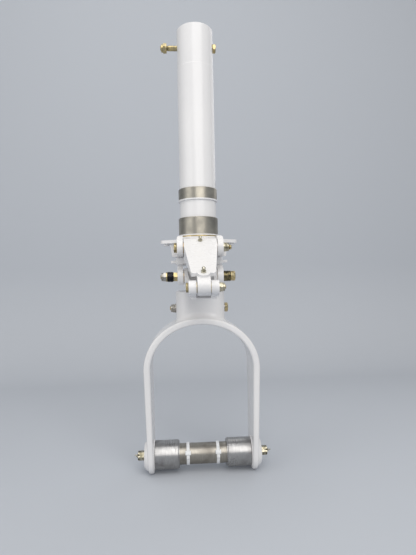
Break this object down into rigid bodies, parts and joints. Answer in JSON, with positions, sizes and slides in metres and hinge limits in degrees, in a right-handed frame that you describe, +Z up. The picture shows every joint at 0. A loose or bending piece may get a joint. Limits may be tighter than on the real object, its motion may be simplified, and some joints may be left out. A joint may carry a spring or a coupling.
{
  "type": "landing gear strut",
  "caption": "Nose gear oleo strut with a turning steering collar, torque links, sliding piston, wheel fork and axle.",
  "frame": {"origin": "barrel axis at mid-height of the lower clamp land", "axes": "+Z up the barrel axis to its head, -Y forward to the torque links' knee, +X to the right along the axle"},
  "size_m": [0.2144, 0.193, 0.6968],
  "materials": {
    "barrel_paint": "gloss white enamel over steel, bare turned lands",
    "white_paint": "gloss white enamel",
    "plated_hardware": "yellow plated steel",
    "bare_metal": "turned bare metal",
    "alloy": "machined",
    "bronze": "machined bronze",
    "rubber_seal": "matt",
    "hard_chrome": "polished",
    "black_sleeve": "black finish",
    "nylon": "natural nylon"
  },
  "bodies": {
    "barrel": {"barrel": "barrel_paint", "head_plug": "alloy", "head_seal": "rubber_seal", "filler_valve": "plated_hardware", "orifice_tube": "alloy", "orifice_plate": "alloy", "attach_bolt": "plated_hardware", "attach_nut": "plated_hardware", "thrust_shim": "plated_hardware", "gland_nut": "white_paint", "lower_bearing": "bronze", "bearing_seals": "rubber_seal", "bearing_retainer": "bronze", "scraper": "rubber_seal"},
    "steering_collar": {"steering_collar": "white_paint", "steering_arm_bushes": "plated_hardware", "upper_pivot_bolt": "plated_hardware", "upper_pivot_nut": "plated_hardware"},
    "upper_link": {"upper_torque_link": "white_paint", "upper_link_bushes": "bronze", "grease_fittings": "plated_hardware"},
    "piston": {"piston": "hard_chrome", "head_bearing": "bronze", "base_plug": "alloy", "base_seal": "rubber_seal", "metering_pin": "alloy", "lug_ring": "white_paint", "lower_pivot_bolt": "plated_hardware", "lower_pivot_washers": "plated_hardware", "lower_pivot_nut": "plated_hardware", "hex_sleeve": "plated_hardware", "tow_sleeve_left": "black_sleeve", "tow_sleeve_right": "plated_hardware", "fork": "white_paint", "fork_bolt": "plated_hardware", "fork_nut": "plated_hardware", "axle_tube": "bare_metal", "wheel_spacers": "bare_metal", "axle_stud": "plated_hardware", "axle_nuts": "plated_hardware", "axle_cotters": "plated_hardware", "cable_ties": "nylon"},
    "lower_link": {"lower_torque_link": "white_paint", "lower_link_bushes": "bronze", "knee_bolt": "plated_hardware", "knee_nut": "plated_hardware", "knee_washers": "plated_hardware"}
  },
  "joints": [
    {"name": "steering", "type": "hinge", "parent": "barrel", "child": "steering_collar", "pos_m": [0, 0, -0.0317], "axis": [0, 0, 1], "range_deg": [-30, 30]},
    {"name": "oleo_slide", "type": "slide", "parent": "steering_collar", "child": "piston", "axis": [0, 0, -1], "range_m": [0, 0.09]},
    {"name": "upper_link_pivot", "type": "hinge", "parent": "steering_collar", "child": "upper_link", "pos_m": [0, -0.047, -0.0356], "axis": [1, 0, 0], "range_deg": [0, 13.87]},
    {"name": "lower_link_pivot", "type": "hinge", "parent": "piston", "child": "lower_link", "pos_m": [0, -0.04, -0.0784], "axis": [-1, 0, 0], "range_deg": [0, 42.47]}
  ],
  "couplings": [
    {"joint": "upper_link_pivot", "follows": "oleo_slide", "rad_per_m": 2.6888},
    {"joint": "lower_link_pivot", "follows": "oleo_slide", "rad_per_m": 8.2367}
  ]
}
